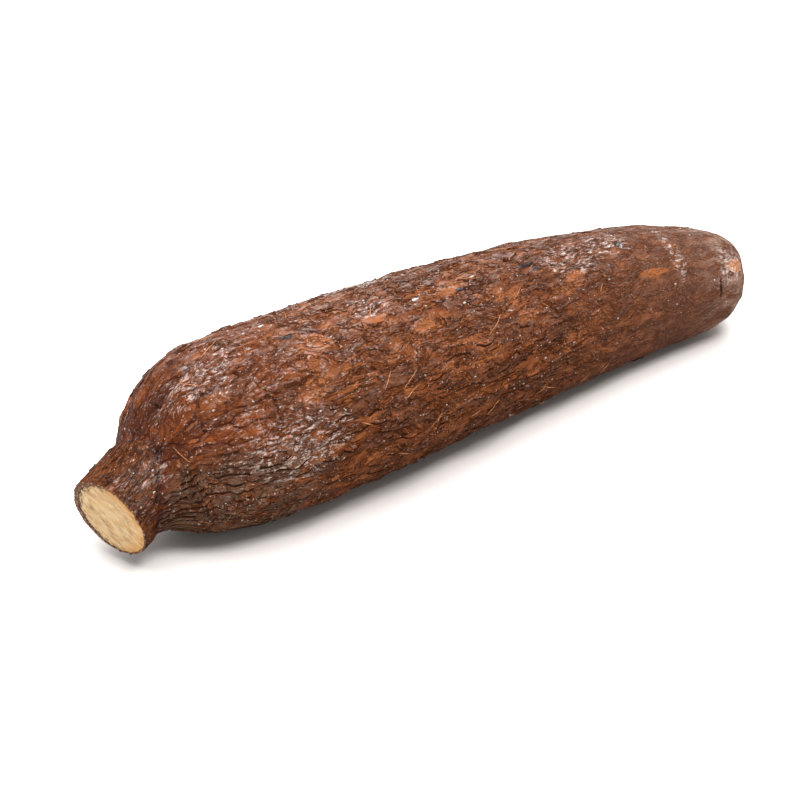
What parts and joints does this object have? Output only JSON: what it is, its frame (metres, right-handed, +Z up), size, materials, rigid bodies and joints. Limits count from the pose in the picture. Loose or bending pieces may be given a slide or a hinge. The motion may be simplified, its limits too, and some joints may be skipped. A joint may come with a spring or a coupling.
{
  "type": "cassava root",
  "caption": "Whole cassava root lying on its belly, with rough brown bark, a short sawn neck at its thick end and a blunt rounded tail.",
  "frame": {"origin": "under the middle of the root's box, on the surface it rests on", "axes": "+X runs along the root from the sawn neck to the tail, and +Z is up"},
  "size_m": [0.3098, 0.0756, 0.071],
  "materials": {
    "bark": "rough flaking brown bark with a waxy sheen",
    "sawn_neck": "dry sawn woody core, straw coloured, matt"
  },
  "bodies": {
    "root": {"cassava_root": "bark"}
  },
  "joints": []
}
